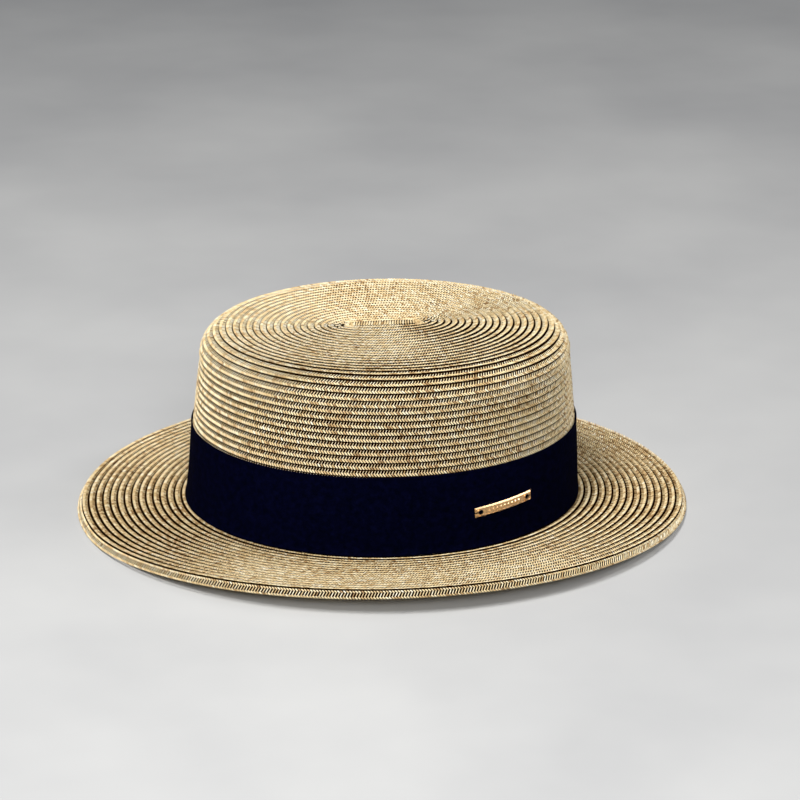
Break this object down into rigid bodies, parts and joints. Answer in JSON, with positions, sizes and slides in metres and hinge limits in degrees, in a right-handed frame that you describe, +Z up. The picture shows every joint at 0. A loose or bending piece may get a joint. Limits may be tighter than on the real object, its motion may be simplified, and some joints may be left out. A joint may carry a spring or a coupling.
{
  "type": "straw boater hat",
  "caption": "Stiff sewn-straw hat with a flat oval crown, a level brim, a dark ribbon band and a small bare metal plate on the band.",
  "frame": {"origin": "on the surface that the hat rests on, under the middle of its brim", "axes": "+Z up, the hat's length along X with its front at -X and its left side, which carries the plate, at -Y"},
  "size_m": [0.324, 0.282, 0.1003],
  "materials": {
    "straw": "sewn flat straw braid, matt with a faint sheen",
    "ribbon": "very dark navy plain-weave ribbon",
    "plated_metal": "brushed rose-gold plating"
  },
  "bodies": {
    "root": {"crown": "straw", "brim": "straw", "hat_band": "ribbon", "metal_plate": "plated_metal"}
  },
  "joints": []
}
